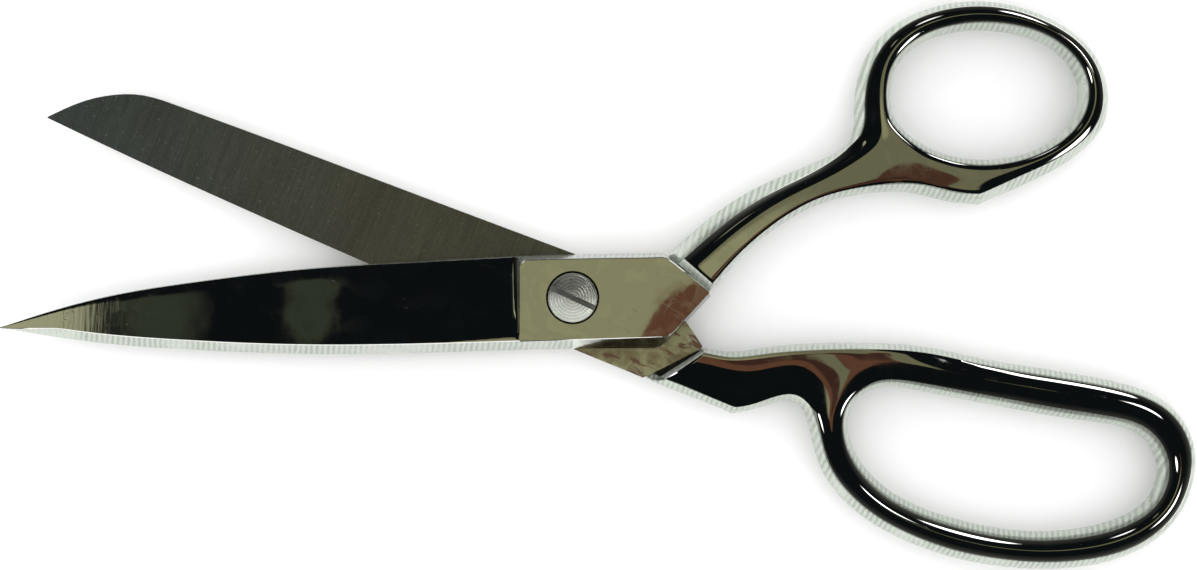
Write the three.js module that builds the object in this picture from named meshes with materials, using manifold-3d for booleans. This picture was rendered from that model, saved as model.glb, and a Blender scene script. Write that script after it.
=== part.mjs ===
// Bent-handle dressmaking shears, 8 inch class, lying open on one side.
// Millimetres, +Z up. Origin: on the pivot axis, at the plane that the shears lie on.
//
// Two forged halves cross at a pivot screw. Each half is drawn in its own frame, seen from
// its outer side: the blade runs along -X, the cutting edge is on the +Y side, the inner
// face is z = 0 and the outer pad is z = HALF_THICKNESS. The thumb half stays like that;
// the finger half is turned over about X and swung open by OPENING.
import * as THREE from "three";
import { mergeVertices } from "three/addons/utils/BufferGeometryUtils.js";
import Module from "manifold-3d";

const wasm = await Module();
wasm.setup();

// Driving dimensions
const HALF_THICKNESS = 4.5; // parting plane to the outer pad of either half
const INNER_GAP = 0.05; // each inner face stands this far off the parting plane
const OPENING = THREE.MathUtils.degToRad(22); // angle between the blades as the shears lie
const SPINE_LEAN = 0.36; // the ground spine leans in by this much per mm of height
const EDGE_LEAN = 0.2; // and the side with the cutting edge by this much
const BOW_ROUND = 1.8; // width of the rounding on each side of the shank and bow
const BOW_ROUND_HEIGHT = 3.4; // height of that rounding, on the top and on the underside
const PAD_START = -8.8; // x where the ground blade ends in a step up to the flat pad
const GROOVE_DEPTH = 1.2; // depth of the groove between the pad and the shank
const SCREW = {
  headRadius: 4.1,
  headHeight: 1.55, // at the rim; the dome adds to it
  headDome: 0.45,
  rimChamfer: 0.3,
  seatRadius: 4.3, // counterbore for the head in the thumb half
  seatDepth: 1.4,
  shoulderRadius: 2.85,
  boreRadius: 2.92,
  threadRadius: 2.2,
  endChamfer: 0.4,
  threadBoreRadius: 2.5,
  slotWidth: 1.0,
  slotDepth: 0.85,
  slotAngle: THREE.MathUtils.degToRad(-25),
};
const WASHER = { thickness: 0.3, inner: 3.0, outer: 4.0, rise: 0.06, gap: 0.02 };
const NUT = {
  acrossFlats: 7.0,
  height: 1.9,
  foot: 0.15, // height of its underside above the resting plane
  boreRadius: 2.5,
  seatRadius: 4.6,
  seatDepth: 2.2,
};
const ROUND_STEPS = 48; // facets of a full circle
const THROUGH = 1; // how far a cutting tool overshoots the face that it starts from
const FINE = { step: 1 }; // spacing of outline points where the outline turns sharply
const CORNER = { step: 1.5 };
const TOP = 2 * HALF_THICKNESS; // height of the thumb half's pad above the resting plane

const steel = (name, color, roughness) =>
  new THREE.MeshStandardMaterial({ name, color, roughness, metalness: 1 });
const chrome = steel("chrome", 0xc9c8c0, 0.08);
const turned = steel("turned steel", 0xa9a89e, 0.3);
const spring = steel("spring steel", 0x77756c, 0.4);

const point = ([x, y]) => new THREE.Vector3(x, y, 0);
const flat = (v) => new THREE.Vector2(v.x, v.y);

// Points along a smooth curve through a few guide points, `step` mm apart.
function smooth(guides, { closed = false, step = 2.5 } = {}) {
  const curve = new THREE.CatmullRomCurve3(guides.map(point), closed, "centripetal");
  const count = Math.round(curve.getLength() / step);
  const points = curve.getSpacedPoints(count).map(flat);
  return closed ? points.slice(0, -1) : points;
}

// A closed oval, a superellipse a little squarer than an ellipse.
function oval({ centre, radii, squareness = 2.15, count = 40 }) {
  const bend = (t) => Math.sign(t) * Math.abs(t) ** (2 / squareness);
  return Array.from({ length: count }, (_, i) => {
    const angle = (2 * Math.PI * i) / count;
    return new THREE.Vector2(
      centre[0] + radii[0] * bend(Math.cos(angle)),
      centre[1] + radii[1] * bend(Math.sin(angle)),
    );
  });
}

// Joins stretches of outline end to end, without repeating the points where they meet.
function outline(...stretches) {
  const points = stretches.flat();
  const apart = points.filter((p, i) => i === 0 || p.distanceTo(points[i - 1]) > 0.02);
  if (apart[0].distanceTo(apart[apart.length - 1]) < 0.02) apart.pop();
  return new THREE.Shape(apart);
}

function solid(geometry) {
  geometry.deleteAttribute("normal");
  geometry.deleteAttribute("uv");
  const merged = mergeVertices(geometry, 1e-4);
  return new wasm.Manifold(
    new wasm.Mesh({
      numProp: 3,
      vertProperties: merged.attributes.position.array,
      triVerts: new Uint32Array(merged.index.array),
    }),
  );
}

function mesh(name, body, material) {
  const { vertProperties, triVerts } = body.getMesh();
  const geometry = new THREE.BufferGeometry();
  geometry.setAttribute("position", new THREE.BufferAttribute(vertProperties, 3));
  geometry.setIndex(new THREE.BufferAttribute(triVerts, 1));
  geometry.computeVertexNormals();
  const made = new THREE.Mesh(geometry, material);
  made.name = name;
  return made;
}

// A box from its lowest and highest corners.
function block(low, high) {
  const size = high.map((h, i) => h - low[i]);
  const box = new THREE.BoxGeometry(...size);
  return solid(box.translate(...low.map((l, i) => l + size[i] / 2)));
}

// An upright round solid from [radius, z] pairs that start and end on the axis, or that come
// back to where they started, for a ring.
function turnedSolid(profile) {
  const points = profile.map(([r, z]) => new THREE.Vector2(r, z));
  return solid(new THREE.LatheGeometry(points, ROUND_STEPS).rotateX(Math.PI / 2));
}

const post = (radius, low, high) =>
  turnedSolid([[0, low], [radius, low], [radius, high], [0, high]]);

// The blade and pad: an upright block in outline, whose walls lean in from the inner face up.
// Each lean is the same block pushed over sideways; what all of them share is kept.
function slab(shape) {
  const leaning = (lean) => {
    const body = new THREE.ExtrudeGeometry(shape, {
      depth: HALF_THICKNESS - INNER_GAP,
      bevelEnabled: false,
    });
    return solid(body.applyMatrix4(new THREE.Matrix4().makeShear(0, 0, 0, 0, 0, lean)));
  };
  return leaning(0)
    .intersect(leaning(SPINE_LEAN))
    .intersect(leaning(-EDGE_LEAN))
    .translate([0, 0, INNER_GAP]);
}

// The shank and bow: rounded above and below, on both sides of the parting plane.
function handle(shape) {
  const straight = 2 * (HALF_THICKNESS - BOW_ROUND_HEIGHT);
  const body = new THREE.ExtrudeGeometry(shape, {
    depth: straight,
    bevelThickness: BOW_ROUND_HEIGHT,
    bevelSize: BOW_ROUND,
    bevelOffset: -BOW_ROUND,
    bevelSegments: 3,
  });
  return solid(body.translate(0, 0, -straight / 2));
}

// What the grinding wheel takes off the outer side of the blade: everything above a plane
// that meets the pad's level at `start`, falls to the cutting edge and thins to the tip.
function groundAway({ start, acrossSlope, alongSlope }) {
  const width = 60; // both are well beyond the blade
  const length = 120;
  const box = new THREE.BoxGeometry(length, width, width).translate(-length / 2, 0, width / 2);
  box.applyMatrix4(new THREE.Matrix4().makeShear(0, alongSlope, 0, -acrossSlope, 0, 0));
  return solid(box.translate(start[0], start[1], HALF_THICKNESS));
}

// One forging: blade, pad, shank and bow in one piece of steel. The neck is the floor of the
// groove between the pad and the shank.
function forging({ bladeOutline, handleOutline, bowHole, neckOutline, grind }) {
  handleOutline.holes.push(new THREE.Path(bowHole));
  const neckShape = new THREE.Shape(neckOutline.map(([x, y]) => new THREE.Vector2(x, y)));
  const neck = solid(
    new THREE.ExtrudeGeometry(neckShape, {
      depth: HALF_THICKNESS - GROOVE_DEPTH - INNER_GAP,
      bevelEnabled: false,
    }).translate(0, 0, INNER_GAP),
  );
  return slab(bladeOutline).subtract(groundAway(grind)).add(handle(handleOutline)).add(neck);
}

// Thumb half: pointed blade, small bow, bored and counterbored for the screw.
function thumbHalf() {
  const edge = smooth([
    [-95.9, -4.9], [-83.5, -1], [-66, 2.3], [-46, 4.8], [-28, 6], [PAD_START, 7.1],
  ]);
  const spine = smooth([
    [13, -8.5], [-9, -8.8], [-30, -9.4], [-50, -9.3], [-70, -8.4], [-86, -6.8], [-95.9, -5.2],
  ]);
  const padBack = smooth([[14.6, 7.4], [16.6, 6.7], [22.6, 2.3], [23.2, 1]], FINE);
  const padSlant = smooth([[22.9, 0], [16.2, -7.1], [13, -8.5]], CORNER);
  const body = forging({
    bladeOutline: outline(edge, padBack, padSlant, spine),
    handleOutline: outline(
      smooth([
        [16.9, 7.8], [21.3, 12.2], [28.1, 17.2], [36.5, 21.2], [44.6, 24.3], [47, 27.4],
        [47.2, 34], [50.4, 42.4], [57.6, 47.9], [68.4, 49.8], [80, 47.2], [87.8, 40.6],
        [90, 32.6], [86.4, 25.3], [79.4, 20.5], [72.1, 17.5],
      ]),
      smooth([[72.1, 17.5], [69, 16.2], [66, 15.8], [61.7, 16.5]], FINE),
      smooth([
        [61.7, 16.5], [55, 17.8], [48.2, 17.6], [41.5, 15.5], [34.8, 12], [28.8, 7.3],
        [24.6, 1.6],
      ]),
    ),
    bowHole: oval({ centre: [69, 34.1], radii: [15.7, 10.75] }),
    neckOutline: [[17, -1], [23.6, 1.2], [27, 6], [20, 9], [13, 6]],
    grind: { start: [PAD_START, -5.8], acrossSlope: 0.26, alongSlope: 0.03 },
  });
  return body
    .subtract(post(SCREW.boreRadius, -THROUGH, TOP))
    .subtract(post(SCREW.seatRadius, HALF_THICKNESS - SCREW.seatDepth, TOP));
}

// Finger half: blunt blade, long bow, threaded for the screw, with a seat for the nut.
function fingerHalf() {
  const edge = smooth([
    [-93.2, 5.1], [-76, 6.1], [-54, 7], [-33.7, 7.6], [PAD_START, 7.9], [14.4, 8],
  ]);
  const padBack = smooth([[14.4, 8], [16.4, 7], [22.6, 0.2], [23.2, -0.6]], FINE);
  const padSlant = smooth([[23.2, -0.6], [15.6, -6.3], [12.4, -7.2]], CORNER);
  const spine = smooth([[12.4, -7.2], [-26.7, -6.3], [-55.4, -5.6], [-76.5, -4.9]], { step: 4 });
  const nose = smooth(
    [[-76.5, -4.9], [-81.4, -4.1], [-85, -2], [-89.1, 0.6], [-92.7, 3.7], [-93.2, 5]],
    CORNER,
  );
  const body = forging({
    bladeOutline: outline(edge, padBack, padSlant, spine, nose),
    handleOutline: outline(
      smooth([[19, 8.2], [24, 8], [30.6, 7.8]]),
      smooth([[30.6, 7.8], [33.6, 7.1], [37.4, 4.1]], FINE),
      smooth([
        [37.4, 4.1], [41, 2.5], [44.2, 4.4], [47.6, 9.3], [53, 13.7], [61, 16.5], [70, 17.1],
        [80.1, 15.8], [90, 12.9], [98.8, 8.3], [104.9, 2.2], [108.2, -6], [106.8, -14.8],
        [101.6, -20.3], [94, -21.6], [77, -18.5], [62, -15.4], [47.6, -11], [36, -6],
        [29, -2], [24.4, -0.6],
      ]),
      [new THREE.Vector2(21, 3), new THREE.Vector2(19, 5.3)],
    ),
    bowHole: smooth([
      [50.3, 0], [51.7, -3.4], [56.6, -6.6], [70, -9.2], [83.4, -11.9], [94.4, -14.5],
      [100.4, -12], [102.4, -6.8], [100, -1.9], [93.4, 3.8], [84.3, 8.1], [74.2, 10.3],
      [64.6, 10.7], [57.4, 8.8], [52.2, 4.9],
    ], { closed: true }),
    neckOutline: [[16, -3], [23.6, -0.9], [27.5, 4], [20, 7.6], [13, 6]],
    grind: { start: [PAD_START, -4.6], acrossSlope: 0.25, alongSlope: 0.012 },
  });
  return body
    .subtract(post(SCREW.threadBoreRadius, -THROUGH, TOP))
    .subtract(post(NUT.seatRadius, HALF_THICKNESS - NUT.seatDepth, TOP));
}

// The underside of the spring washer, and the face of the screw's head that rests on it.
const WASHER_LOW = TOP - SCREW.seatDepth + WASHER.gap;
const HEAD_LOW = WASHER_LOW + WASHER.thickness + WASHER.rise + WASHER.gap;

// Heights here are above the resting plane. The slot is cut after the head is turned.
function pivotScrew() {
  const rim = HEAD_LOW + SCREW.headHeight;
  const crown = rim + SCREW.headDome;
  const body = turnedSolid([
    [0, 0],
    [SCREW.threadRadius - SCREW.endChamfer, 0],
    [SCREW.threadRadius, SCREW.endChamfer],
    [SCREW.threadRadius, HALF_THICKNESS],
    [SCREW.shoulderRadius, HALF_THICKNESS],
    [SCREW.shoulderRadius, HEAD_LOW],
    [SCREW.headRadius, HEAD_LOW],
    [SCREW.headRadius, rim - SCREW.rimChamfer],
    [SCREW.headRadius - SCREW.rimChamfer, rim],
    [SCREW.headRadius * 0.6, rim + SCREW.headDome * 0.7],
    [0, crown],
  ]);
  const half = SCREW.slotWidth / 2;
  const reach = SCREW.headRadius + THROUGH;
  const slot = block([-reach, -half, crown - SCREW.slotDepth], [reach, half, crown + THROUGH]);
  return body.subtract(slot.rotate([0, 0, THREE.MathUtils.radToDeg(SCREW.slotAngle)]));
}

// A dished spring washer under the head, which keeps the halves pressed together.
function springWasher() {
  const { thickness, inner, outer, rise } = WASHER;
  return turnedSolid([
    [inner, WASHER_LOW + rise],
    [outer, WASHER_LOW],
    [outer, WASHER_LOW + thickness],
    [inner, WASHER_LOW + thickness + rise],
    [inner, WASHER_LOW + rise],
  ]);
}

// A thin hexagon nut, locked on the end of the screw inside its seat.
function lockNut() {
  const corner = NUT.acrossFlats / 2 / Math.cos(Math.PI / 6);
  const hexagon = new THREE.CylinderGeometry(corner, corner, NUT.height, 6).rotateX(Math.PI / 2);
  const body = solid(hexagon.translate(0, 0, NUT.foot + NUT.height / 2));
  return body.subtract(post(NUT.boreRadius, -THROUGH, TOP));
}

const thumb = new THREE.Group();
thumb.position.z = HALF_THICKNESS;
thumb.add(mesh("thumb_half", thumbHalf(), chrome));

const finger = new THREE.Group();
finger.position.z = HALF_THICKNESS;
finger.rotation.set(Math.PI, 0, -OPENING, "ZYX");
finger.add(mesh("finger_half", fingerHalf(), chrome));

const shears = new THREE.Group();
shears.add(
  thumb,
  finger,
  mesh("pivot_screw", pivotScrew(), turned),
  mesh("spring_washer", springWasher(), spring),
  mesh("lock_nut", lockNut(), turned),
);

export default shears;
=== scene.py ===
"""Bent-handle dressmaking shears, lying open on a pale table.

Each half is made in its own frame, in millimetres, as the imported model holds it: the pivot at
the origin, the blade along -X with its cutting edge on the +Y side, the inner face at z = 0 and
the outer pad at z = HALF. A half starts as two bodies. The slab is the ground blade and pad,
with flat faces and crisp edges. The handle is a cage of a few ribs, which a subdivision surface
rounds. They are joined, and then the seat of the screw or of the nut is cut.
"""

import math

import bmesh
import bpy
import numpy as np
from mathutils import Matrix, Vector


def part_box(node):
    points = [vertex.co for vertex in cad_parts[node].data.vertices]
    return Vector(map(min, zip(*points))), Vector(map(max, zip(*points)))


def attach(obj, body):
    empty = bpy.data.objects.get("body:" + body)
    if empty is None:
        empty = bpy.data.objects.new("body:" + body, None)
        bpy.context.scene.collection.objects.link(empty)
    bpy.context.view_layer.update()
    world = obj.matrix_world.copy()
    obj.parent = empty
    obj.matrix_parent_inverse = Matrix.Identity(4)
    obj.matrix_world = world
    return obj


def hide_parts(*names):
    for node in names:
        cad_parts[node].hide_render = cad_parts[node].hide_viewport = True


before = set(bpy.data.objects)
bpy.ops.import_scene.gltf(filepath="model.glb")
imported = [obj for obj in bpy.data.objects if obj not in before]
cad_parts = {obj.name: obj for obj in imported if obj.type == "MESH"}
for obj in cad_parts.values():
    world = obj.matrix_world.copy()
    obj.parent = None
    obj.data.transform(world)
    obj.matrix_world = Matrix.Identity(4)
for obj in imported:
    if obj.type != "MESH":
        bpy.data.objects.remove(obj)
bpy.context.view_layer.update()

MM = 0.001
OPENING = math.radians(22)  # angle between the blades at rest
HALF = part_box("thumb_half")[1].z / MM / 2  # parting plane to the outer pad of either half
INNER = 0.06  # each inner face stands this far off the parting plane
SCREW_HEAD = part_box("pivot_screw")[1].x / MM  # radius
SCREW_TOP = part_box("pivot_screw")[1].z / MM
SEAT_RADIUS = SCREW_HEAD + 0.2
SEAT_DEPTH = 1.4
HEAD_GAP = 0.02  # between the spring washer and the screw's head
NUT_LOW, NUT_HIGH = (corner.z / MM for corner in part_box("lock_nut"))
NUT_SEAT_RADIUS = 4.6
NUT_SEAT_DEPTH = 2.2
LIFT = Matrix.Translation((0, 0, HALF * MM))  # from a half's own frame up to the parting plane
# Material slots of both halves. The recess slot and the spine flank over the other half carry
# painted shade.
CHROME, FLANK, SATIN, SHADED_RECESS, RUBBED, SHOULDER, PAINTED_DARK_SPINE = range(7)


# ---------------------------------------------------------------- curves and meshes


def smooth_curve(points):
    """The natural cubic spline y(x) through points that are in order of x, as a function."""
    x, y = np.array(points, float).T
    gap = np.diff(x)
    count = len(x)
    bend = np.eye(count)
    pull = np.zeros(count)
    for i in range(1, count - 1):
        bend[i, i - 1 : i + 2] = gap[i - 1], 2 * (gap[i - 1] + gap[i]), gap[i]
        pull[i] = 6 * ((y[i + 1] - y[i]) / gap[i] - (y[i] - y[i - 1]) / gap[i - 1])
    second = np.linalg.solve(bend, pull)

    def value(at):
        i = int(np.clip(np.searchsorted(x, at) - 1, 0, count - 2))
        left, right = x[i + 1] - at, at - x[i]
        cubic = (second[i] * left**3 + second[i + 1] * right**3) / (6 * gap[i])
        linear_left = (y[i] / gap[i] - second[i] * gap[i] / 6) * left
        linear_right = (y[i + 1] / gap[i] - second[i + 1] * gap[i] / 6) * right
        return cubic + linear_left + linear_right

    return value


def ease(t):
    """From 0 to 1, starting and ending level, and held outside that."""
    t = min(max(t, 0.0), 1.0)
    return t * t * (3 - 2 * t)


def new_object(name, bm):
    """An object in the scene from a bmesh, with its faces turned outwards."""
    bmesh.ops.recalc_face_normals(bm, faces=bm.faces)
    mesh = bpy.data.meshes.new(name)
    bm.to_mesh(mesh)
    bm.free()
    made = bpy.data.objects.new(name, mesh)
    bpy.context.scene.collection.objects.link(made)
    return made


def apply_modifiers(obj):
    """Gives the object the mesh that its modifiers make of it, and drops them."""
    depsgraph = bpy.context.evaluated_depsgraph_get()
    depsgraph.update()
    final = bpy.data.meshes.new_from_object(obj.evaluated_get(depsgraph))
    obj.modifiers.clear()
    obj.data = final
    return obj


def coat(piece, materials):
    """Fills a piece's slots. Both sides of a boolean get the same list, so that slots match."""
    for material in materials:
        piece.data.materials.append(material)


def boolean(target, other, operation):
    """Joins, cuts or intersects target with the other body, which is used up."""
    cut = target.modifiers.new(operation, "BOOLEAN")
    cut.operation = operation
    cut.solver = "EXACT"
    cut.object = other
    apply_modifiers(target)
    bpy.data.objects.remove(other)


def lathe(name, profile, steps=128, material=0):
    """A closed round solid from (radius, z) pairs. A radius of 0 is on the axis."""
    bm = bmesh.new()
    rings = []
    for radius, z in profile:
        if radius == 0:
            rings.append([bm.verts.new((0, 0, z))])
            continue
        angles = [2 * math.pi * i / steps for i in range(steps)]
        ring = [(radius * math.cos(a), radius * math.sin(a), z) for a in angles]
        rings.append([bm.verts.new(point) for point in ring])
    pairs = list(zip(rings, rings[1:]))
    if profile[0][0] and profile[-1][0]:
        pairs.append((rings[-1], rings[0]))
    for low, high in pairs:
        for i in range(steps):
            j = (i + 1) % steps
            below = [low[i % len(low)], low[j % len(low)]]
            above = [high[j % len(high)], high[i % len(high)]]
            face = bm.faces.new(dict.fromkeys(below + above))
            face.material_index = material
    return new_object(name, bm)


def prism(name, outline, low, high, material=0):
    """An upright solid with that outline, between two heights."""
    bm = bmesh.new()
    bottom = [bm.verts.new((x, y, low)) for x, y in outline]
    top = [bm.verts.new((x, y, high)) for x, y in outline]
    bm.faces.new(bottom)
    bm.faces.new(top)
    for i in range(len(outline)):
        j = (i + 1) % len(outline)
        bm.faces.new((bottom[i], bottom[j], top[j], top[i]))
    for face in bm.faces:
        face.material_index = material
    return new_object(name, bm)


# ---------------------------------------------------------------- blade and pad

PAD_START = -8.8  # x of the step from the ground blade up to the pad
# Points of that step, as (x from PAD_START, share of the rise), and where it is left unpolished
STEP = [(-1.2, 0), (-0.75, 0.03), (-0.4, 0.12), (-0.17, 0.4), (0, 1)]
STEEP_STEP = (-0.5, -0.01)
BLADE_SECTIONS = 48
BLADE_CROWDING = 1.15  # above 1, the sections stand closer together towards the tip
BLADE_TO_STEP = 1.5  # from the last of them to the pad
PAD_SECTIONS = [PAD_START + dx for dx in (0.3, 0.7, 1.2)] + [-6, -3, 0, 3, 6, 9, 12]
NARROWS_FROM = 12  # x from which the pad narrows to its end, with sections at the outline's points
RUBBED_FROM = -0.5  # x from which the halves rub together and scratch the inner face

SPINE_BAND = 1.7  # width of the ground band along the spine
EDGE_BAND = 0.22  # width of the narrow bevel at the cutting edge
PAD_BAND = 0.9  # width of the bevel round the pad
END_BAND = 0.55  # least width of that bevel on the spine's side
END_NARROWING = 0.4  # how much narrower it is at the pad's end, on the edge's side
END_SLOPE = 0.5  # how far the top of the pad's end stands back from its foot
CORNER_BAND = 0.9  # how much wider that bevel is at the pad's front corner
CORNER_LENGTH = 1.2  # over which it comes back to its width
WIDEST_SPINE_BAND = 0.34  # of the width of the blade
WIDEST_EDGE_BAND = 0.3
LEAST_FLAT = 0.02  # between either band and the start of the ground face
WORN = 0.16  # width of the worn edge between a flat face and a flank
WIDEST_WORN = 0.3  # of the flank beside it
WORN_DROP = 0.85  # how far the worn edge falls per mm of its width
ACROSS_SLOPE = 0.243  # how much the ground face falls per mm towards the cutting edge
GROUND_STRIPS = 5  # strips of faces across the ground face
GROUND_FACES = range(3, 3 + GROUND_STRIPS)  # their places among the faces round a section


def slab(name, edge, spine, edge_end, spine_end, pad_spine, grind_y, along_slope):
    """Blade and pad, from the tip to the shoulder, as sections across the blade.

    edge and spine are points of smooth curves from the tip to the pad; edge_end and spine_end
    are the straight-sided rest of the outline, round to the point of the pad. pad_spine is where
    the pad's top ends on the spine's side, at its step and at its far end. The ground face leaves
    the pad's level at grind_y beside the pad, and falls by along_slope to the tip."""
    edge_curve, spine_curve = smooth_curve(edge), smooth_curve(spine)
    tip, end = edge[0][0], edge_end[-1][0]

    def edge_y(x):
        return edge_curve(x) if x <= edge[-1][0] else np.interp(x, *zip(*edge_end))

    def spine_y(x):
        return spine_curve(x) if x <= spine[-1][0] else np.interp(x, *zip(*spine_end))

    length = PAD_START - BLADE_TO_STEP - tip
    shares = [(i / BLADE_SECTIONS) ** BLADE_CROWDING for i in range(BLADE_SECTIONS + 1)]
    blade = [tip + length * share for share in shares]
    step = [PAD_START + dx for dx, _ in STEP]
    corner = [x for x, _ in sorted(set(edge_end + spine_end)) if x > NARROWS_FROM]
    raised = dict(zip(step, (t for _, t in STEP)))

    def section(x):
        """The points round the blade at x, from the spine over the top to the edge."""
        low, high = spine_y(x), edge_y(x)
        width = high - low
        on_pad = raised.get(x, 1.0 if x > PAD_START else 0.0)
        near_end = ease((x - NARROWS_FROM) / (end - NARROWS_FROM))
        pad_line = np.interp(x, (PAD_START, end), pad_spine)
        spine_band = SPINE_BAND if x < PAD_START else max(pad_line - low, END_BAND)
        round_corner = 0
        if on_pad == 1:
            from_corner = max(0.0, 1 - (x - PAD_START) / CORNER_LENGTH)
            round_corner = CORNER_BAND * from_corner**2
        edge_band = EDGE_BAND + on_pad * (PAD_BAND - EDGE_BAND)
        edge_band = edge_band + round_corner - END_NARROWING * near_end
        spine_band = min(spine_band, WIDEST_SPINE_BAND * width)
        edge_band = min(edge_band, WIDEST_EDGE_BAND * width)
        dropped = along_slope * max(PAD_START - x, 0)

        def height(y):
            ground = min(HALF, HALF - dropped - ACROSS_SLOPE * (y - grind_y))
            return ground + on_pad * (HALF - ground)

        ridge, bevel = low + spine_band, high - edge_band
        ground_from = grind_y - dropped / ACROSS_SLOPE
        start = min(max(ground_from, ridge + LEAST_FLAT * width), bevel - LEAST_FLAT * width)
        top_x = x - END_SLOPE * near_end
        ground = [(top_x, y, height(y)) for y in np.linspace(start, bevel, GROUND_STRIPS + 1)]
        worn_spine, worn_edge = (min(WORN, WIDEST_WORN * b) for b in (spine_band, edge_band))
        return [
            (x, low, INNER),
            (top_x, ridge - worn_spine, height(ridge) - WORN_DROP * worn_spine),
            (top_x, ridge, height(ridge)),
            *ground,
            (top_x, bevel + worn_edge, height(bevel) - WORN_DROP * worn_edge),
            (x, high, INNER),
        ]

    bm = bmesh.new()
    rows = [[bm.verts.new(p) for p in section(x)] for x in blade + step + PAD_SECTIONS + corner]
    slots = [FLANK, CHROME, CHROME] + [CHROME] * GROUND_STRIPS + [CHROME, FLANK, SATIN]
    steep_from, steep_to = (PAD_START + dx for dx in STEEP_STEP)
    for row, following in zip(rows, rows[1:]):
        on_step = steep_from < row[0].co.x < steep_to
        rubbed = row[0].co.x > RUBBED_FROM
        for i, slot in enumerate(slots):
            j = (i + 1) % len(slots)
            face = bm.faces.new((row[i], row[j], following[j], following[i]))
            if on_step and i in GROUND_FACES:
                slot = SATIN
            if rubbed and slot == SATIN:
                slot = RUBBED
            # the spine flank over the other half gets the painted dark reflection of the gap
            if rubbed and i == 0:
                slot = PAINTED_DARK_SPINE
            face.material_index = slot
    for row in (rows[0], rows[-1]):
        bm.faces.new(row)
    return new_object(name, bm)


# ---------------------------------------------------------------- shank and bow

SIDE_OUT = 0.15  # how far the cage stands outside the silhouette, in widths of the flank
SIDE_IN = 0.42  # how far inside it the column in the flank stands
SIDE_HEIGHT = 0.62  # height of that column, in heights of the ridge beside it
BURIED_SIDE = 1.2  # height of the silhouette of a rib inside the pad
BURIED_UNDERSIDE = 0.4  # height of its underside
WEB_HOLD = 1.2  # above 1, the bow keeps the web's level for a while before it turns round
ROOT_RIBS = 2  # ribs over which the shank changes from its root's heights to its own


class Cage:
    """A coarse mesh whose columns have one vertex above and one below the parting plane."""

    def __init__(self):
        self.bm = bmesh.new()
        self.edge_crease = self.bm.edges.layers.float.new("crease_edge")
        self.point_crease = self.bm.verts.layers.float.new("crease_vert")

    def column(self, x, y, z, underside=None):
        """The underside is at -z unless it is given. At the same height, it is one vertex."""
        underside = -z if underside is None else underside
        top = self.bm.verts.new((x, y, z))
        return (top, top if underside == z else self.bm.verts.new((x, y, underside)))

    def face(self, *columns, slot=CHROME):
        """A face above and one below, each with a corner at every column."""
        for side in (0, 1):
            corners = list(dict.fromkeys(column[side] for column in columns))
            self.bm.faces.new(corners).material_index = slot

    def sharpen(self, first, second, amount):
        """Creases the edges between two columns."""
        for side in (0, 1):
            edge = self.bm.edges.get((first[side], second[side]))
            edge[self.edge_crease] = amount

    def sharpen_point(self, column, amount):
        for vertex in column:
            vertex[self.point_crease] = amount


def spread(points, closed):
    """Moves cage points out so that the subdivided curve passes through where they were."""
    p = np.array(points, float)
    before, after = np.roll(p, 1, axis=0), np.roll(p, -1, axis=0)
    if not closed:
        before[0], after[0] = p[0], p[0]
        before[-1], after[-1] = p[-1], p[-1]
    return p - (before - 2 * p + after) / 6


def mix(first, second, t):
    """Two lists blended number by number: the first at t = 0, the second at t = 1."""
    return [a + (b - a) * t for a, b in zip(first, second)]


def rib(cage, start, end, bands, heights, places=None, buried=False):
    """Columns across a handle between two points of its silhouette.

    bands are the widths of the two flanks. heights are those of the ridge at the start, of
    each column between the ridges, and of the ridge at the end; places says how far across
    each of them is, from 0 to 1. A buried rib is inside the pad, so its underside stays above
    the parting plane."""
    places = np.linspace(0, 1, len(heights)) if places is None else places
    start, end = np.array(start), np.array(end)
    across = (end - start) / np.linalg.norm(end - start)
    first, last = start + bands[0] * across, end - bands[1] * across
    underside = BURIED_UNDERSIDE if buried else None
    edge = BURIED_SIDE if buried else 0
    start_side = start + SIDE_IN * bands[0] * across
    end_side = end - SIDE_IN * bands[1] * across
    columns = [cage.column(*(start - SIDE_OUT * bands[0] * across), edge, edge)]
    columns.append(cage.column(*start_side, SIDE_HEIGHT * heights[0], underside))
    for place, height in zip(places, heights):
        columns.append(cage.column(*mix(first, last, place), height, underside))
    columns.append(cage.column(*end_side, SIDE_HEIGHT * heights[-1], underside))
    columns.append(cage.column(*(end + SIDE_OUT * bands[1] * across), edge, edge))
    return columns


def join_ribs(cage, first, second, sharp, middle=CHROME):
    """Faces between two ribs with the same number of columns, and their two sharpened ridges."""
    last = len(first) - 1
    for i in range(last):
        slot = FLANK if i < 2 or i >= last - 2 else middle
        cage.face(first[i], first[i + 1], second[i + 1], second[i], slot=slot)
    cage.sharpen(first[2], second[2], sharp[0])
    cage.sharpen(first[last - 2], second[last - 2], sharp[1])


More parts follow.
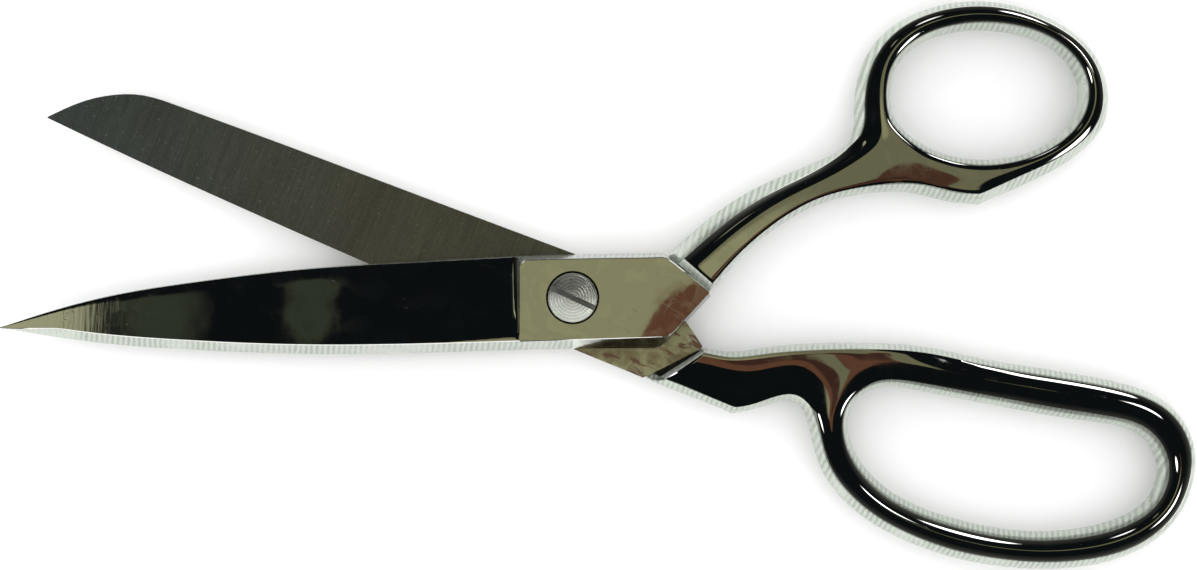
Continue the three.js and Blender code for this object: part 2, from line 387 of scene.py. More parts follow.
def handle(name, spec):
    """The shank, from inside the pad to the bow, and the bow, all round its hole.

    In spec, buried, shank and ring are the ribs inside the pad, along the shank and round the
    bow, and web_rim is the rest of the hole. Heights run from one ridge of a rib to the other: at
    the shank's root, along it and at its end, round the bow, and where the bow starts from the
    web (entry) and comes back to it (leave). web_middle is for the two columns between those.
    web_ribs is over how many ribs the bow changes at either end. The sharp values crease
    ridges, and the corners crease the outer flank of single ribs."""
    cage = Cage()
    buried, shank, ring = spec["buried"], spec["shank"], spec["ring"]
    outer = [line[0] for line in shank + ring] + [line[1] for line in shank[::-1]]
    outer = spread(outer, closed=False)
    hole = spread([line[1] for line in ring] + spec["web_rim"], closed=True)
    upper, lower = outer[: len(shank)], outer[: -len(shank) - 1 : -1]
    outer = outer[len(shank) : -len(shank)]

    bow = []
    for i, (_, _, *bands) in enumerate(ring):
        entering = WEB_HOLD - i / spec["web_ribs"][0]
        leaving = WEB_HOLD - (len(ring) - 1 - i) / spec["web_ribs"][1]
        heights = mix(spec["bow_heights"], spec["entry_heights"], ease(entering))
        heights = mix(heights, spec["leave_heights"], ease(leaving))
        bow.append(rib(cage, outer[i], hole[i], bands, heights))
    soft, (upper_sharp, lower_sharp) = spec["bow_sharp"], spec["shank_sharp"]
    for i, (first, second) in enumerate(zip(bow, bow[1:])):
        leaving = ease(WEB_HOLD - (len(ring) - 2 - i) / spec["web_ribs"][1])
        join_ribs(cage, first, second, (soft + (lower_sharp - soft) * leaving, soft))

    places = spec["shank_places"]
    stem = []
    for start, end, height in buried:
        stem.append(rib(cage, start, end, shank[0][2:], (height,) * 4, places, buried=True))
    for i, (_, _, *bands) in enumerate(shank):
        heights = mix(spec["root_heights"], spec["shank_heights"], min(i / ROOT_RIBS, 1))
        if i == len(shank) - 1:
            heights = spec["shank_end"]
        stem.append(rib(cage, upper[i], lower[i], bands, heights, places))
    tops = [CHROME] * (len(stem) - 1)
    # painted shade: the strip before the shoulder takes the near-black recess steel
    tops[len(buried) - 2 : len(buried)] = SHADED_RECESS, SHOULDER
    for first, second, top in zip(stem, stem[1:], tops):
        join_ribs(cage, first, second, (upper_sharp, lower_sharp), top)
    for root in stem[1 : len(buried) + 1]:
        for first, second in zip(root[1:-1], root[2:-1]):
            cage.sharpen(first, second, spec["root_sharp"])

    # The web: the shank's end meets the first and last ribs of the bow, and what lies
    # between them runs on to the rest of the hole.
    entry, leave = bow[0], bow[-1]
    middle = []
    for t, height in zip(places[1:3], spec["web_middle"]):
        at = mix(entry[2][0].co[:2], leave[2][0].co[:2], t)
        middle.append(cage.column(*at, height))
    across = [entry[0], entry[1], entry[2], *middle, leave[2], leave[1], leave[0]]
    join_ribs(cage, stem[-1], across, (upper_sharp, lower_sharp))

    rims = []
    for i, point in enumerate(hole[len(ring) :][::-1]):
        inward = np.array(middle[i][0].co[:2]) - point
        inward /= np.linalg.norm(inward)
        band, ridge_height = ring[0][3], spec["entry_heights"][-1]
        rims.append(
            [
                cage.column(*(point - SIDE_OUT * band * inward), 0, 0),
                cage.column(*(point + SIDE_IN * band * inward), SIDE_HEIGHT * ridge_height),
                cage.column(*(point + band * inward), ridge_height),
            ]
        )
    halfway = []
    for i in range(2):
        at = mix(middle[i][0].co[:2], rims[i][2][0].co[:2], 0.5)
        halfway.append(cage.column(*at, spec["entry_heights"][1]))
    rows = [
        [entry[2], middle[0], middle[1], leave[2]],
        [entry[3], halfway[0], halfway[1], leave[3]],
        [entry[4], rims[0][2], rims[1][2], leave[4]],
        [entry[5], rims[0][1], rims[1][1], leave[5]],
        [entry[6], rims[0][0], rims[1][0], leave[6]],
    ]
    ridge = 2  # the row along the ridge of the hole's rim, beyond which is its flank
    for depth, (row, following) in enumerate(zip(rows, rows[1:])):
        for i in range(3):
            slot = FLANK if depth >= ridge else CHROME
            cage.face(row[i], row[i + 1], following[i + 1], following[i], slot=slot)
            if depth == ridge:
                cage.sharpen(row[i], row[i + 1], spec["bow_sharp"])

    # The closed end inside the pad, and the creased corners.
    for first, second in zip(stem[0], stem[0][1:]):
        corners = list(dict.fromkeys((first[0], second[0], second[1], first[1])))
        cage.bm.faces.new(corners).material_index = CHROME
    for i, amount in spec["corners"]:
        for column in bow[i][:3]:
            cage.sharpen_point(column, amount)
    for i, amount in spec["shank_corners"]:
        for column in stem[len(buried) + i][:3]:
            cage.sharpen_point(column, amount)

    made = new_object(name, cage.bm)
    rounding = made.modifiers.new("forged form", "SUBSURF")
    rounding.levels = rounding.render_levels = 3
    return apply_modifiers(made)


# ---------------------------------------------------------------- a whole half


def finish(piece, placed=Matrix(), sharp=30):
    """Millimetres to metres, into place, with smooth shading between crisp edges."""
    piece.data.transform(placed @ Matrix.Scale(MM, 4))
    for polygon in piece.data.polygons:
        polygon.use_smooth = True
    piece.data.set_sharp_from_angle(angle=math.radians(sharp))
    shading = piece.modifiers.new("face weighted", "WEIGHTED_NORMAL")
    shading.keep_sharp = True
    return apply_modifiers(piece)


def forging(name, spec, slots):
    """One half, from the tip of its blade to the end of its bow."""
    body = slab(name, **spec["slab"])
    stem = handle(name + "_handle", spec["handle"])
    # the seat's walls take the near-black painted shade of the recess
    cutter = lathe(name + "_seat", spec["seat"], material=SHADED_RECESS)
    for piece in (body, stem, cutter):
        coat(piece, slots)
    boolean(body, stem, "UNION")
    boolean(body, cutter, "DIFFERENCE")
    return finish(body, spec["placed"])


def seat(radius, depth, bore):
    """The profile of a counterbore with a broken edge, and of the bore below it."""
    floor = HALF - depth
    broken_down, broken_out = 0.12, 0.14
    below, above = -1, HALF + 1  # past both faces of the half
    return [
        (0, below),
        (bore, below),
        (bore, floor),
        (radius, floor),
        (radius, HALF - broken_down),
        (radius + broken_out, HALF),
        (radius + broken_out, above),
        (0, above),
    ]


# Each rib is its two silhouette points and the widths of its two flanks, and a buried rib is its
# two points and its height.
THUMB = {
    "slab": {
        "edge": [
            (-95.9, -4.9), (-86.2, -1.8), (-75, 0.9), (-62.7, 2.8), (-45.9, 4.8),
            (-29.1, 5.9), (-10.9, 6.9), (15, 7.45),
        ],
        "spine": [
            (-95.9, -5.2), (-90.2, -6.1), (-79.5, -7.6), (-66, -8.65), (-45.9, -9.45),
            (-25.7, -9.3), (-2.2, -8.65), (13.5, -8.5),
        ],
        "edge_end": [(15, 7.45), (15.9, 7.2), (17, 6.4), (20, 4), (22.8, 1.7), (23.2, 1.2)],
        "spine_end": [
            (13.5, -8.5), (14.6, -8.25), (15.6, -7.6), (17, -6.2), (20, -3.1), (23.2, 0.3),
        ],
        "pad_spine": (-7.17, -6.2),
        "grind_y": -5.8,
        "along_slope": 0.028,
    },
    "handle": {
        "buried": [((11.5, 5.2), (17.5, -2), 3), ((15.9, 7.2), (23.1, 1.1), 2.4)],
        "shank": [
            ((16.7, 8), (23.9, 1.75), 2.4, 0.8),
            ((20.4, 11.4), (25.7, 4), 2.5, 0.7),
            ((24.4, 14.6), (28.6, 7.1), 2.45, 0.75),
            ((29.4, 17.8), (32.9, 10.7), 2.2, 0.85),
            ((35.2, 20.55), (38, 14), 1.7, 0.95),
            ((41.5, 23.2), (44.6, 16.65), 1.4, 1),
        ],
        "ring": [
            ((46.6, 26.1), (53.5, 31.4), 2.1, 1.2),
            ((47.1, 31), (53.3, 34.8), 1.7, 1.2),
            ((47.6, 36.2), (54, 38.1), 1.7, 1.2),
            ((49.7, 41.5), (56.2, 41), 1.6, 1.3),
            ((53.6, 45.6), (59.6, 43.2), 1.4, 1.3),
            ((59.2, 48.4), (63.6, 44.4), 1.25, 1.2),
            ((65.6, 49.7), (67.8, 44.8), 1.2, 1.2),
            ((72.4, 49.4), (72, 44.5), 1.15, 1.2),
            ((79, 47.3), (76.4, 43.6), 1.15, 1.2),
            ((84.6, 44), (80.6, 41.5), 1.2, 1.2),
            ((88.3, 39.6), (83.6, 38.3), 1.3, 1.2),
            ((89.8, 34.6), (84.8, 34.6), 1.4, 1.2),
            ((89.4, 29.8), (83.9, 30.4), 1.6, 1.2),
            ((86.9, 25.9), (81, 26.9), 1.9, 1.2),
            ((82.2, 22.2), (77, 24.6), 2, 1.2),
            ((76.6, 19.3), (72.8, 23.5), 1.9, 1.2),
            ((71.8, 17.2), (69.4, 23.2), 1.7, 1.2),
            ((68, 15.9), (66.6, 23.3), 1.5, 1.2),
            ((64, 15.9), (63.9, 23.7), 1.7, 1.2),
            ((59.8, 16.8), (61.6, 24.4), 1.7, 1.2),
            ((54, 17.8), (59.2, 25.4), 1.5, 1.2),
        ],
        "web_rim": [(56.7, 27.1), (54.6, 29.2)],
        "shank_places": (0, 0.17, 0.4, 1),
        "root_heights": (3.5, 4.15, 4.33, 4.345),
        "shank_heights": (3.4, 4.13, 4.36, 4.395),
        "shank_end": (3.4, 4.13, 4.36, 4.395),
        "bow_heights": (3.65, 4.4, 3.7),
        "entry_heights": (3.55, 4.32, 4.34),
        "leave_heights": (4.36, 4.38, 4.36),
        "web_middle": (4.26, 4.37),
        "web_ribs": (4.2, 10),
        "shank_sharp": (0.6, 0.96),
        "root_sharp": 0.75,
        "bow_sharp": 0.35,
        "corners": [(17, 0.8)],
        "shank_corners": [],
    },
    "seat": seat(SEAT_RADIUS, SEAT_DEPTH, 2.95),
    "placed": LIFT,
}

FINGER = {
    "slab": {
        "edge": [(-93.2, 5.1), (-76, 6.1), (-54, 7), (-33.7, 7.6), (-8, 7.95), (13.6, 8.05)],
        "spine": [
            (-93.2, 4.9), (-90.6, 2.1), (-87.7, -0.5), (-84.6, -2.5), (-81.3, -4), (-78.3, -4.7),
            (-74, -5), (-55.4, -5.6), (-26.7, -6.3), (-2.4, -6.9), (11.4, -7.2),
        ],
        "edge_end": [
            (13.6, 8.05), (15.9, 8.1), (16.6, 7.45), (20, 3.6), (22.8, 0.3), (23.2, -0.3),
        ],
        "spine_end": [
            (11.4, -7.2), (13, -7), (15.6, -5.9), (19.4, -3.2), (22.6, -1), (23.2, -0.6),
        ],
        "pad_spine": (-5.05, -4.9),
        "grind_y": -4.6,
        "along_slope": 0.012,
    },
    "handle": {
        "buried": [
            ((11, 5.5), (17.5, -2), 3),
            ((15.9, 7.95), (23.1, -0.3), 2.3),
            ((17.7, 8.15), (23.8, -0.45), 3.6),
        ],
        "shank": [
            ((18.5, 8.15), (24.3, -0.5), 1.6, 0.9),
            ((22.4, 8.1), (26, -1), 1.5, 1),
            ((27, 8), (28.4, -1.7), 1.2, 1),
            ((31.8, 7.8), (31.2, -3.2), 1.1, 1),
            ((34.8, 6.4), (34.4, -5.1), 1.3, 1.1),
            ((38, 3.7), (38.3, -7.1), 1.5, 1.2),
            ((41, 2.4), (42.5, -9), 1.4, 1.2),
        ],
        "ring": [
            ((43.6, 3.7), (50.3, 0.2), 1.2, 1.1),
            ((46.2, 7.2), (50.9, 2.7), 1.3, 1.1),
            ((49.4, 11.2), (53.2, 5.9), 1.4, 1.1),
            ((54.2, 14.3), (57.2, 8.6), 1.5, 1.1),
            ((60.4, 16.3), (62.4, 10.3), 1.4, 1.1),
            ((67.4, 17), (68.2, 10.7), 1.4, 1.1),
            ((75, 16.7), (74.6, 10.2), 1.4, 1.1),
            ((82.6, 15.2), (80.8, 9.1), 1.4, 1.1),
            ((89.6, 13), (86.6, 7.3), 1.4, 1.1),
            ((96, 10), (91.8, 4.9), 1.4, 1.1),
            ((101.4, 6.3), (96.2, 2.1), 1.3, 1.2),
            ((105.6, 1.6), (99.6, -0.9), 1.2, 1.2),
            ((107.9, -3.8), (101.8, -4.2), 1.1, 1.2),
            ((108.2, -8.9), (102.3, -7.6), 1, 1.2),
            ((107.1, -14), (101.3, -10.9), 1, 1.3),
            ((104.3, -18), (99, -13.2), 1, 1.3),
            ((99.9, -20.7), (96.2, -14.3), 1, 1.3),
            ((94.6, -21.5), (92.8, -14.2), 1, 1.3),
            ((88.4, -20.8), (87.6, -13), 1, 1.3),
            ((81, -19.3), (81.4, -11.5), 1, 1.3),
            ((73.4, -17.55), (75, -10.2), 1, 1.3),
            ((66, -15.95), (68.6, -8.9), 1, 1.3),
            ((59, -14.8), (62.6, -7.7), 1, 1.3),
            ((52.8, -13), (57.6, -6.8), 1, 1.2),
            ((47, -10.8), (53.9, -5.6), 1.1, 1.2),
        ],
        "web_rim": [(51.8, -3.8), (50.6, -1.9)],
        "shank_places": (0, 0.28, 0.58, 1),
        "root_heights": (3.5, 4.1, 4.32, 4.32),
        "shank_heights": (3.4, 4.02, 4.34, 4.36),
        "shank_end": (3.7, 4.25, 4.36, 4.36),
        "bow_heights": (3.4, 4.4, 3.25),
        "entry_heights": (4.22, 4.37, 4.3),
        "leave_heights": (4.34, 4.38, 4.3),
        "web_middle": (4.35, 4.38),
        "web_ribs": (2.6, 3.4),
        "shank_sharp": (0.6, 0.85),
        "root_sharp": 0.75,
        "bow_sharp": 0.15,
        "corners": [],
        "shank_corners": [(3, 0.6)],
    },
    "seat": seat(NUT_SEAT_RADIUS, NUT_SEAT_DEPTH, 2.5),
    "placed": LIFT @ Matrix.Rotation(-OPENING, 4, "Z") @ Matrix.Rotation(math.pi, 4, "X"),
}


# ---------------------------------------------------------------- screw, washer and nut


def threaded_rod(name, radius, low, high):
    """A rod with a helical thread, flat at both ends and thinner at its low end."""
    pitch, depth = 0.8, 0.28
    lead_in, lead_depth = 0.5, 0.45
    around, rings_per_turn = 72, 12
    along = int((high - low) / pitch * rings_per_turn)
    bm = bmesh.new()
    rings = []
    for j in range(along + 1):
        z = low + (high - low) * j / along
        chamfer = max(0.0, 1 - (z - low) / lead_in) * lead_depth
        ring = []
        for i in range(around):
            angle = 2 * math.pi * i / around
            turn = (z / pitch - i / around) % 1
            at = radius - max(depth * (1 - abs(2 * turn - 1)), chamfer)
            ring.append(bm.verts.new((at * math.cos(angle), at * math.sin(angle), z)))
        rings.append(ring)
    for first, second in zip(rings, rings[1:]):
        for i in range(around):
            j = (i + 1) % around
            bm.faces.new((first[i], first[j], second[j], second[i]))
    bm.faces.new(rings[0])
    bm.faces.new(rings[-1])
    return new_object(name, bm)


def pivot_screw(head_foot, materials):
    """A domed head with the lathe's rings and a slot, a smooth shoulder and a threaded end."""
    dome, centre = 0.45, 0.43  # heights of the dome, and of its middle, above the rim
    chamfer_down, chamfer_in = 0.22, 0.25
    rings, ring_depth, first_ring = 20, 0.022, SCREW_HEAD - 0.3
    slot_reach, slot_width, slot_depth, slot_turn = 6, 0.9, 1, math.radians(-25)
    shoulder_radius, thread_radius, thread_low = 2.85, 2.2, 0.05

    rim = SCREW_TOP - dome
    profile = [
        (0, head_foot),
        (SCREW_HEAD, head_foot),
        (SCREW_HEAD, rim - chamfer_down),
        (SCREW_HEAD - chamfer_in, rim),
    ]
    for i in range(1, rings):
        radius = first_ring * (1 - i / rings)
        rise = dome * (1 - (radius / SCREW_HEAD) ** 2)
        profile.append((radius, rim + rise - (ring_depth if i % 2 else 0)))
    profile.append((0, rim + centre))
    head = lathe("screw_head", profile)

    side = slot_width / 2
    outline = [(-slot_reach, -side), (slot_reach, -side), (slot_reach, side), (-slot_reach, side)]
    slot = prism("slot", outline, SCREW_TOP - slot_depth, SCREW_TOP + slot_depth, material=1)
    slot.data.transform(Matrix.Rotation(slot_turn, 4, "Z"))
    coat(head, materials)
    coat(slot, materials)
    boolean(head, slot, "DIFFERENCE")

    into_head = head_foot + 0.3
    profile = [(0, HALF), (shoulder_radius, HALF), (shoulder_radius, into_head), (0, into_head)]
    boolean(head, lathe("shoulder", profile), "UNION")
    boolean(head, threaded_rod("thread", thread_radius, thread_low, HALF + 0.2), "UNION")
    return finish(head, sharp=26)


def spring_washer():
    """A dished ring with worn edges."""
    low, high = (corner.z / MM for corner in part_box("spring_washer"))
    inside, outside, rise = 3, 4, 0.06
    profile = [(inside, low + rise), (outside, low), (outside, high - rise), (inside, high)]
    ring = lathe("dished_washer", profile)
    worn = ring.modifiers.new("worn edges", "BEVEL")
    worn.width = 0.06
    worn.segments = 2
    worn.limit_method = "ANGLE"
    worn.angle_limit = math.radians(28)
    return finish(apply_modifiers(ring))


def lock_nut():
    """A hexagon with both ends turned to a cone, and a hole with a countersunk start."""
    flats = 7.0
    corner = flats / 2 / math.cos(math.pi / 6)
    sides = [math.radians(60 * i) for i in range(6)]
    hexagon = [(corner * math.cos(a), corner * math.sin(a)) for a in sides]
    nut = prism("hexagon_nut", hexagon, NUT_LOW, NUT_HIGH)

    reach, slope, proud = flats / 2 - 0.1, 0.35, 0.01
    turned_ends = [
        (0, NUT_LOW - proud),
        (reach, NUT_LOW - proud),
        (reach + 1, NUT_LOW + slope),
        (reach + 1, NUT_HIGH - slope),
        (reach, NUT_HIGH + proud),
        (0, NUT_HIGH + proud),
    ]
    boolean(nut, lathe("turned_ends", turned_ends), "INTERSECT")

    bore, countersink, sunk = 2.42, 2.9, 0.4
    hole = [
        (0, NUT_LOW - 1),
        (countersink, NUT_LOW - 1),
        (countersink, NUT_LOW),
        (bore, NUT_LOW + sunk),
        (bore, NUT_HIGH + 1),
        (0, NUT_HIGH + 1),
    ]
    boolean(nut, lathe("nut_hole", hole), "DIFFERENCE")
    return finish(nut)


# ---------------------------------------------------------------- materials


def node(tree, kind, inputs=None, **settings):
    """Adds a node. An input is a value, or another node's output socket."""
    made = tree.nodes.new(kind)
    for name, value in settings.items():
        setattr(made, name, value)
    for key, value in (inputs or {}).items():
        if isinstance(value, bpy.types.NodeSocket):
            tree.links.new(value, made.inputs[key])
        else:
            made.inputs[key].default_value = value
    return made


def ramp(tree, factor, stops):
    """A colour ramp from (position, colour) pairs, where a colour may be one grey value."""
    made = node(tree, "ShaderNodeValToRGB", {"Fac": factor})
    elements = made.color_ramp.elements
    while len(elements) < len(stops):
        elements.new(0.5)
    for element, (position, colour) in zip(elements, stops):
        element.position = position
        element.color = (*colour, 1) if isinstance(colour, tuple) else (colour, colour, colour, 1)
    return made.outputs["Color"]


def millimetres(tree, turn=0.0, stretch=(1, 1, 1)):
    """The object's own coordinates in millimetres, turned about Z and then stretched."""
    place = node(tree, "ShaderNodeTexCoord").outputs["Object"]
    scale = [s / MM for s in stretch]
    turned = {"Vector": place, "Rotation": (0, 0, turn)}
    place = node(tree, "ShaderNodeMapping", turned).outputs["Vector"]
    return node(tree, "ShaderNodeMapping", {"Vector": place, "Scale": scale}).outputs["Vector"]


def noise(tree, vector, size, detail=2.0, distortion=0.0):
    """Noise from 0 to 1 whose features are about size millimetres across."""
    inputs = {"Vector": vector, "Scale": 1 / size, "Detail": detail, "Distortion": distortion}
    return node(tree, "ShaderNodeTexNoise", inputs).outputs["Fac"]


def math_node(tree, operation, first, second):
    """The result of one sum. first and second are values or sockets."""
    return node(tree, "ShaderNodeMath", {0: first, 1: second}, operation=operation).outputs[0]


def span(tree, value, low, high, to_low=0.0, to_high=1.0):
    """Maps low..high to to_low..to_high, and holds the ends."""
    inputs = {"Value": value, "From Min": low, "From Max": high}
    inputs |= {"To Min": to_low, "To Max": to_high}
    return node(tree, "ShaderNodeMapRange", inputs).outputs[0]


def relief(tree, heights):
    """The normal of a surface raised by (height from 0 to 1, depth in millimetres) pairs."""
    total = 0.0
    for height, depth in heights:
        total = math_node(tree, "ADD", math_node(tree, "MULTIPLY", height, depth), total)
    inputs = {"Height": total, "Distance": MM, "Strength": 1.0}
    return node(tree, "ShaderNodeBump", inputs).outputs["Normal"]


def tint(tree, factor, dark, light):
    """One colour where factor is 0, the other where it is 1, and a blend between."""
    return ramp(tree, factor, [(0, dark), (1, light)])


def distance(tree, place, axis):
    """How far along an axis each point is."""
    return node(tree, "ShaderNodeSeparateXYZ", {"Vector": place}).outputs[axis]


def metal(name, metallic=1.0, **constants):
    """A new metal and its nodes. Constants such as anisotropic are set on the shader itself."""
    material = bpy.data.materials.new(name)
    material.use_nodes = True
    shader = material.node_tree.nodes["Principled BSDF"]
    shader.inputs["Metallic"].default_value = metallic
    for key, value in constants.items():
        shader.inputs[key.title()].default_value = value
    return material, material.node_tree


def wire(material, **outputs):
    """Links outputs, such as base_color, to the material's shader, and returns the material."""
    tree = material.node_tree
    shader = tree.nodes["Principled BSDF"]
    for key, output in outputs.items():
        tree.links.new(output, shader.inputs[key.replace("_", " ").title()])
    return material


def chrome_plate():
    """Polished plate: slightly wavy, with smudges, hairlines, pits and, by the tips, ripples."""
    material, tree = metal("chrome_plate")
    place = millimetres(tree)
    waves = noise(tree, place, size=7, detail=1)
    ragged = noise(tree, place, size=1.7, detail=1.5)
    by_tip = span(tree, distance(tree, place, "X"), -62, -84)
    ripples = noise(tree, millimetres(tree, stretch=(1.6, 0.12, 0.12)), size=1)
    ripples = math_node(tree, "MULTIPLY", ripples, by_tip)
    scratched = millimetres(tree, math.radians(32), (0.16, 7, 7))
    hairs = noise(tree, scratched, size=1, detail=3, distortion=0.4)
    hairs = span(tree, hairs, 0.66, 0.74)
    patches = span(tree, noise(tree, place, size=5, detail=3), 0.52, 0.66)
    hairs = math_node(tree, "MULTIPLY", hairs, patches)
    pits = span(tree, noise(tree, place, size=0.5, detail=1), 0.77, 0.82)
    smudges = noise(tree, place, size=4.5, detail=4, distortion=0.8)
    smudges = span(tree, smudges, 0.5, 0.6)
    smeared = span(tree, smudges, 0, 1, 0.02, 0.05)
    roughness = math_node(tree, "ADD", smeared, math_node(tree, "MULTIPLY", hairs, 0.2))
    raised = [(waves, 0.009), (ragged, 0.0008), (ripples, 0.003)]
    cut = [(hairs, -0.0012), (pits, -0.001)]
    return wire(
        material,
        base_color=tint(tree, smudges, (0.82, 0.82, 0.79), (0.9, 0.9, 0.87)),
        roughness=roughness,
        normal=relief(tree, raised + cut),
    )


def ground_steel(name, metallic, pale, dark):
    """The coarser ground sides: pale, with the wheel's marks across them."""
    material, tree = metal(name, metallic)
    lean = math.radians(18)
    place = millimetres(tree, lean)
    wave = {"Vector": place, "Scale": 0.36, "Distortion": 1.4, "Detail": 2.0, "Detail Scale": 2.0}
    marks = node(tree, "ShaderNodeTexWave", wave, wave_profile="SIN").outputs["Fac"]
    fine = noise(tree, millimetres(tree, lean, (3.5, 0.3, 0.3)), size=1)
    worn = span(tree, noise(tree, place, size=9), 0.3, 0.52)
    marks = math_node(tree, "MULTIPLY", marks, worn)
    coarse = math_node(tree, "MULTIPLY", marks, 0.75)
    shade = math_node(tree, "ADD", coarse, math_node(tree, "MULTIPLY", fine, 0.4))
    return wire(
        material,
        base_color=tint(tree, shade, pale, dark),
        roughness=span(tree, fine, 0.3, 0.7, 0.14, 0.28),
        normal=relief(tree, [(marks, 0.01), (fine, 0.004)]),
    )


def satin_steel():
    """The inner faces: ground across the blade to a dull sheen, and a little dusty."""
    material, tree = metal("satin_steel", metallic=0.92)
    place = millimetres(tree)
    lines = noise(tree, millimetres(tree, OPENING, (5, 0.12, 0.12)), size=1, detail=3)
    cloud = noise(tree, place, size=14)
    grain = noise(tree, place, size=0.35)
    specks = span(tree, noise(tree, place, size=0.55, detail=1), 0.7, 0.76)
    shade = 0.0
    for layer, weight in ((lines, 0.55), (cloud, 0.25), (grain, 0.35), (specks, 0.8)):
        shade = math_node(tree, "ADD", math_node(tree, "MULTIPLY", layer, weight), shade)
    from_tip = span(tree, distance(tree, place, "X"), -84, -25)
    base = tint(tree, from_tip, (0.25, 0.29, 0.26), (0.3, 0.29, 0.2))
    shades = tint(tree, span(tree, shade, 0.25, 1.2), 0.45, 1.5)
    blend = {"Fac": 1.0, "Color1": base, "Color2": shades}
    return wire(
        material,
        base_color=node(tree, "ShaderNodeMixRGB", blend, blend_type="MULTIPLY").outputs["Color"],
        roughness=span(tree, lines, 0.25, 0.75, 0.32, 0.48),
        normal=relief(tree, [(lines, 0.004), (grain, 0.001)]),
    )


def painted_dark_spine_steel():
    """The pad's spine side, above the other half: painted dark reflection of the shaded gap,
    darker farther from the tip.
    """
    material, tree = metal("painted_dark_spine_steel")
    streak_noise = noise(tree, millimetres(tree, stretch=(0.35, 1.6, 1.6)), size=1, detail=3)
    streaks = span(tree, streak_noise, 0.35, 0.65, -0.15, 0.1)
    from_pivot = span(tree, distance(tree, millimetres(tree), "X"), 0.5, 5)
    # painted dark reflection of the shaded gap: darker from x 0.5 to 5 mm, broken up in streaks
    painted_darkness = math_node(tree, "ADD", from_pivot, streaks)
    return wire(
        material,
        base_color=tint(tree, painted_darkness, (0.7, 0.74, 0.66), (0.05, 0.05, 0.043)),
        roughness=span(tree, streak_noise, 0.3, 0.7, 0.08, 0.2),
        normal=relief(tree, [(streak_noise, 0.01)]),
    )


def rubbed_steel():
    """The inner faces about the pivot: scratched by each other, stained and a little rusty."""
    material, tree = metal("rubbed_steel", metallic=0.75)
    cloud = noise(tree, millimetres(tree), size=2.6, detail=4, distortion=0.6)
    smeared = millimetres(tree, OPENING, (0.45, 1, 1))
    stains = noise(tree, smeared, size=2.1, detail=3, distortion=0.9)
    stains = span(tree, stains, 0.56, 0.64)
    scored = millimetres(tree, math.radians(48), (0.14, 3.4, 3.4))
    scratches = noise(tree, scored, size=1, distortion=0.4)
    scratches = span(tree, scratches, 0.68, 0.73)
    colour = tint(tree, span(tree, cloud, 0.35, 0.62), (0.36, 0.3, 0.17), (0.62, 0.6, 0.33))
    for mask, over in ((stains, (0.3, 0.17, 0.11, 1)), (scratches, (0.95, 0.93, 0.78, 1))):
        blend = {"Fac": mask, "Color1": colour, "Color2": over}
        colour = node(tree, "ShaderNodeMixRGB", blend).outputs["Color"]
    return wire(
        material,
        base_color=colour,
        roughness=span(tree, cloud, 0.35, 0.65, 0.2, 0.34),
        normal=relief(tree, [(cloud, 0.02), (stains, -0.006), (scratches, -0.01)]),
    )


def turned_steel():
    """Bright turned steel: the lathe's rings, about the screw's own axis, and a painted highlight
    that makes one side brighter.
    """
    material, tree = metal("turned_steel", anisotropic=0.5)
    place = millimetres(tree)
    rings = {"Vector": place, "Scale": 0.62, "Distortion": 0.0}
    kind = {"wave_type": "RINGS", "rings_direction": "Z"}
    rings = node(tree, "ShaderNodeTexWave", rings, **kind).outputs["Fac"]
    dirt = noise(tree, place, size=2.2)
    shade = math_node(tree, "MULTIPLY", math_node(tree, "ADD", rings, dirt), 0.5)
    radial = node(tree, "ShaderNodeTangent", direction_type="RADIAL", axis="Z")
    return wire(
        material,
        base_color=tint(tree, shade, (0.4, 0.42, 0.35), (0.86, 0.88, 0.8)),
        # painted highlight: less metallic towards -Y, so the diffuse table light brightens that
        # side
        metallic=span(tree, distance(tree, place, "Y"), 1.5, -2.5, 0.93, 0.38),
        roughness=span(tree, dirt, 0.3, 0.7, 0.24, 0.3),
        normal=relief(tree, [(rings, 0.02)]),
        tangent=radial.outputs["Tangent"],
    )


def plain_steel(name, dark, light, roughness, metallic=1.0):
    """Steel that is never polished: mottled, and dull in places."""
    material, tree = metal(name, metallic)
    mottle = noise(tree, millimetres(tree), size=1.2, detail=4)
    return wire(
        material,
        base_color=tint(tree, mottle, dark, light),
        roughness=span(tree, mottle, 0.3, 0.7, roughness, roughness + 0.15),
        normal=relief(tree, [(mottle, 0.01)]),
    )


def white_paper():
    """The table: paper with a faint grain."""
    material, tree = metal("white_paper", metallic=0.0, roughness=0.9)
    fibres = noise(tree, millimetres(tree), size=1.5, detail=3)
    return wire(material, base_color=tint(tree, fibres, 0.915, 0.925))


chrome, satin, rubbed, turned = chrome_plate(), satin_steel(), rubbed_steel(), turned_steel()
flank = ground_steel("ground_flank", 0.72, (0.6, 0.64, 0.57), (0.33, 0.37, 0.32))
# ground finish, plus painted reflection: paler and less metallic than the flank, so the shoulder
# shows white like the table it reflects
shoulder = ground_steel("ground_shoulder", 0.4, (0.85, 0.9, 0.82), (0.62, 0.66, 0.6))
# painted shade: near-black steel for the seats and the strip before the shoulder, where shade
# falls
recess = plain_steel("painted_shade_recess", (0.02, 0.02, 0.018), (0.09, 0.088, 0.075), 0.35)
nut_steel = plain_steel("nut_steel", (0.42, 0.42, 0.38), (0.62, 0.61, 0.56), 0.24)
slot_steel = plain_steel("slot_steel", (0.14, 0.145, 0.13), (0.3, 0.31, 0.28), 0.3, 0.6)
spring_steel = plain_steel("spring_steel", (0.22, 0.21, 0.18), (0.34, 0.33, 0.29), 0.3)

slots = (chrome, flank, satin, recess, rubbed, shoulder, painted_dark_spine_steel())
thumb_half = forging("thumb_forging", THUMB, slots)
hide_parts("thumb_half")
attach(thumb_half, "thumb")

finger_half = forging("finger_forging", FINGER, slots)
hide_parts("finger_half")
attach(finger_half, "finger")

